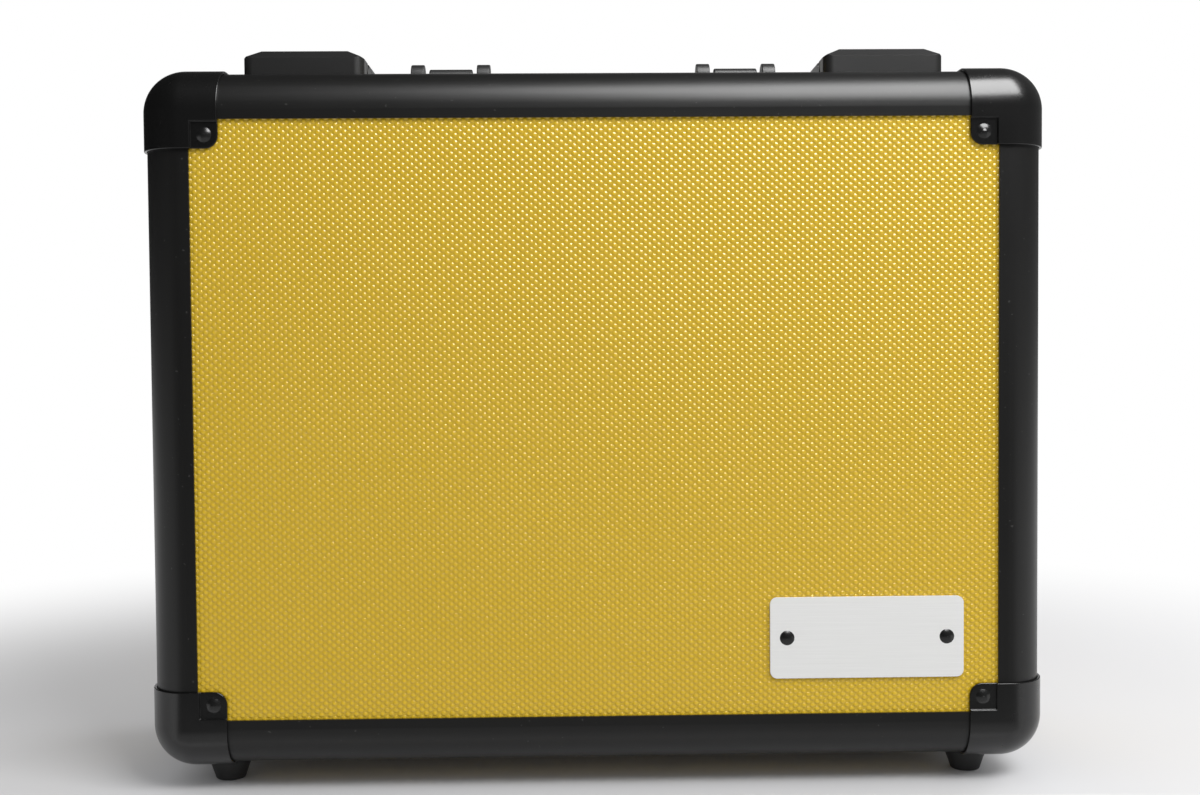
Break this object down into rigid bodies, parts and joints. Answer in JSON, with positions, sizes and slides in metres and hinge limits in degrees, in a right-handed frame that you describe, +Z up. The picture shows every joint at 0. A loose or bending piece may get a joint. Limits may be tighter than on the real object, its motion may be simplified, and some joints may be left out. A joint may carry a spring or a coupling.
{
  "type": "storage box",
  "caption": "Flat rectangular storage case with dimpled panels in rounded rails, ball corner caps, lid hinged along the bottom, lever latches and a folding top handle, standing on feet.",
  "frame": {"origin": "on the floor under the middle of the case, which stands on its feet", "axes": "+X along the width, -Y out of the lid's face, +Z up toward the handle"},
  "size_m": [0.443, 0.153, 0.3667],
  "materials": {
    "panel_yellow": "dimpled laminate",
    "rail_black": "satin black anodised",
    "cap_black": "smooth black lacquer",
    "rivet_black": "gloss black",
    "plate_aluminium": "brushed, bare",
    "foot_rubber": "moulded",
    "pin_steel": "drawn",
    "latch_plastic": "fine moulded grain",
    "hinge_black": "black lacquer",
    "handle_plastic": "moulded",
    "grip_rubber": "soft moulded",
    "lining_foam": "open-cell foam"
  },
  "bodies": {
    "base": {"base_back_panel": "panel_yellow", "base_bottom_rail": "rail_black", "base_bottom_wall": "panel_yellow", "base_corner_bottom_left": "cap_black", "base_corner_bottom_right": "cap_black", "base_corner_top_left": "cap_black", "base_corner_top_right": "cap_black", "base_edge_posts": "rail_black", "base_feet": "foot_rubber", "base_foam": "lining_foam", "base_left_rail": "rail_black", "base_left_wall": "panel_yellow", "base_mouth_frame": "rail_black", "base_right_rail": "rail_black", "base_right_wall": "panel_yellow", "base_rivets": "rivet_black", "base_top_rail": "rail_black", "base_top_wall": "panel_yellow", "base_wall_lining": "lining_foam", "handle_bracket_left": "handle_plastic", "handle_bracket_right": "handle_plastic", "handle_pins": "pin_steel", "hinge_base_leaf_left": "hinge_black", "hinge_base_leaf_right": "hinge_black", "hinge_pins": "pin_steel", "latch_keeper_left": "hinge_black", "latch_keeper_right": "hinge_black"},
    "lid": {"hinge_lid_leaf_left": "hinge_black", "hinge_lid_leaf_right": "hinge_black", "latch_housing_left": "latch_plastic", "latch_housing_right": "latch_plastic", "latch_pins": "pin_steel", "lid_bottom_rail": "rail_black", "lid_bottom_wall": "panel_yellow", "lid_corner_bottom_left": "cap_black", "lid_corner_bottom_right": "cap_black", "lid_corner_top_left": "cap_black", "lid_corner_top_right": "cap_black", "lid_edge_posts": "rail_black", "lid_face_panel": "panel_yellow", "lid_feet": "foot_rubber", "lid_foam": "lining_foam", "lid_left_rail": "rail_black", "lid_left_wall": "panel_yellow", "lid_mouth_frame": "rail_black", "lid_right_rail": "rail_black", "lid_right_wall": "panel_yellow", "lid_rivets": "rivet_black", "lid_top_rail": "rail_black", "lid_top_wall": "panel_yellow", "lid_wall_lining": "lining_foam", "name_plate": "plate_aluminium", "name_plate_rivets": "rivet_black"},
    "latch_lever_left": {"latch_lever_left": "latch_plastic"},
    "latch_lever_right": {"latch_lever_right": "latch_plastic"},
    "handle": {"handle_frame": "handle_plastic", "handle_grip": "grip_rubber"}
  },
  "joints": [
    {"name": "lid_hinge", "type": "hinge", "parent": "base", "child": "lid", "pos_m": [0, -0.02, 0.0085], "axis": [1, 0, 0], "range_deg": [0, 100]},
    {"name": "latch_left_pivot", "type": "hinge", "parent": "lid", "child": "latch_lever_left", "pos_m": [-0.1452, -0.03, 0.3617], "axis": [1, 0, 0], "range_deg": [-4, 90]},
    {"name": "latch_right_pivot", "type": "hinge", "parent": "lid", "child": "latch_lever_right", "pos_m": [0.1452, -0.03, 0.3617], "axis": [1, 0, 0], "range_deg": [-4, 90]},
    {"name": "handle_pivot", "type": "hinge", "parent": "base", "child": "handle", "pos_m": [0, -0.0065, 0.3599], "axis": [1, 0, 0], "range_deg": [0, 90]}
  ]
}
